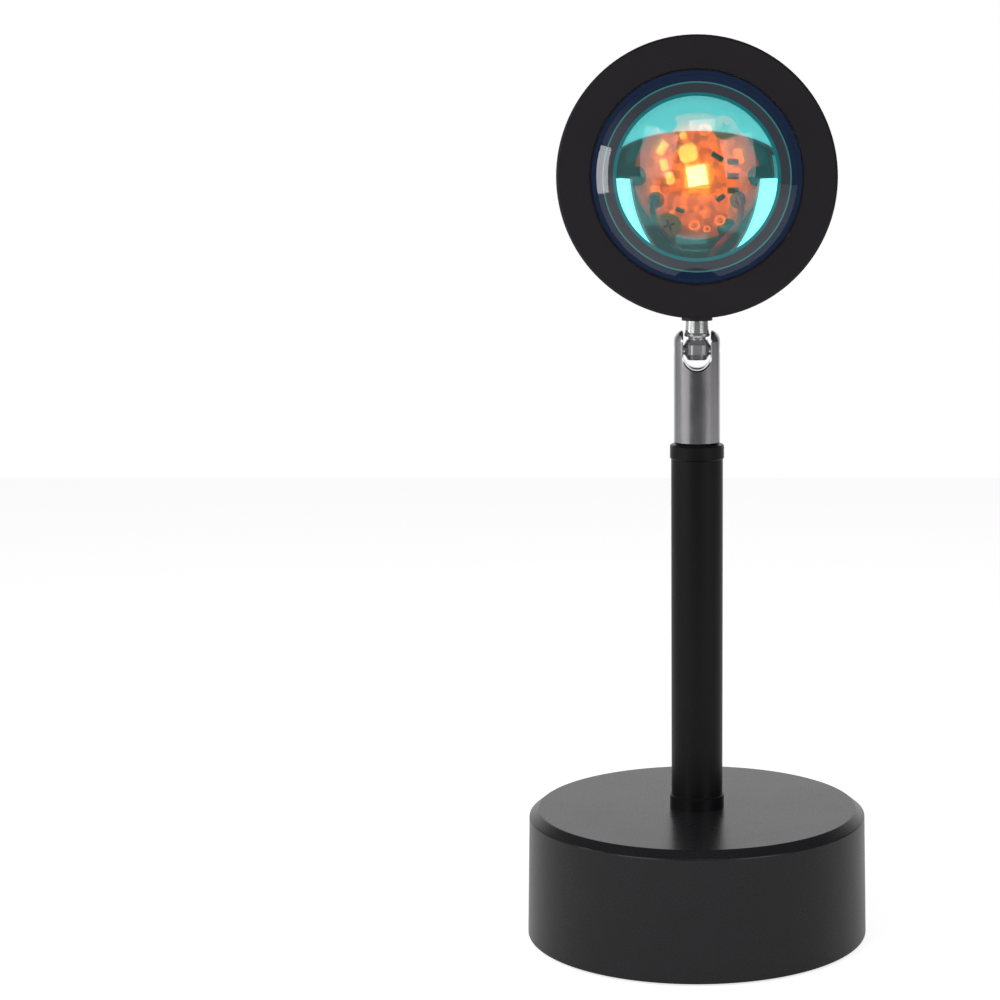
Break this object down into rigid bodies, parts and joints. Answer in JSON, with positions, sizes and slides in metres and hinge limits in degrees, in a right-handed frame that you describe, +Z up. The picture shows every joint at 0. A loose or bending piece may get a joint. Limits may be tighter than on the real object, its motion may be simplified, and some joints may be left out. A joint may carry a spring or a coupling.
{
  "type": "sunset projection lamp",
  "caption": "Small table lamp with a round weighted base, slim stem, knuckle joint and a round head whose domed lens projects a coloured disc of light.",
  "frame": {"origin": "centre of the underside of the base, on the surface the lamp stands on", "axes": "+Z up along the stem; -Y the way the lens looks at rest; +Y the cable outlet at the rear"},
  "size_m": [0.09, 0.0912, 0.235],
  "materials": {
    "satin_black_base": "fine-textured satin black paint",
    "satin_black_stem": "smooth satin black paint",
    "matte_black_head": "matte black paint on die-cast aluminium",
    "black_seat": "matte black plastic",
    "satin_nickel": "satin nickel plating, bright on its bevels",
    "polished_chrome": "polished chrome",
    "zinc_steel": "bright zinc plating",
    "cast_weight": "raw cast iron",
    "black_rubber": "matte moulded rubber",
    "foot_rubber": "die-cut black rubber sheet",
    "clear_lens": "polished clear glass",
    "dichroic_filter": "coated colour filter, cyan by reflection",
    "black_anodised": "black anodised aluminium",
    "spring_steel": "spring steel wire",
    "lamp_board": "solder mask on an aluminium board, lit amber",
    "light_chip": "glowing phosphor under a clear dome",
    "chip_black": "ceramic chip resistor",
    "red_insulation": "red wire insulation",
    "black_insulation": "black wire insulation"
  },
  "bodies": {
    "base": {"base_shell": "satin_black_base", "base_plate": "zinc_steel", "base_screws": "zinc_steel", "counterweight": "cast_weight", "foot_pad": "foot_rubber", "cable_grommet": "black_rubber", "stem_lower_collar": "satin_black_stem", "stem_tube": "satin_black_stem", "stem_upper_collar": "satin_black_stem", "stem_nipple": "zinc_steel", "stem_washer": "zinc_steel", "stem_nut": "zinc_steel", "fork_sleeve": "satin_nickel", "tilt_pins": "polished_chrome", "supply_lead": "black_insulation"},
    "neck": {"swivel_stud": "polished_chrome", "swivel_washer": "spring_steel", "swivel_nut": "zinc_steel"},
    "head": {"neck_seat": "black_seat", "head_housing": "matte_black_head", "front_bezel": "matte_black_head", "lens_gasket": "black_rubber", "lens": "clear_lens", "lens_retainer": "black_anodised", "filter_disc": "dichroic_filter", "filter_clip": "spring_steel", "heat_sink": "black_anodised", "led_board": "lamp_board", "led_emitter": "light_chip", "chip_resistors": "chip_black", "sink_screws": "zinc_steel", "board_screws": "zinc_steel", "lead_red": "red_insulation", "lead_black": "black_insulation"}
  },
  "joints": [
    {"name": "head_tilt", "type": "hinge", "parent": "base", "child": "neck", "pos_m": [0, 0, 0.1555], "axis": [1, 0, 0], "range_deg": [-90, 90]},
    {"name": "head_swivel", "type": "hinge", "parent": "neck", "child": "head", "pos_m": [0, 0, 0.1555], "axis": [0, 0, 1], "range_deg": [-170, 170]}
  ]
}
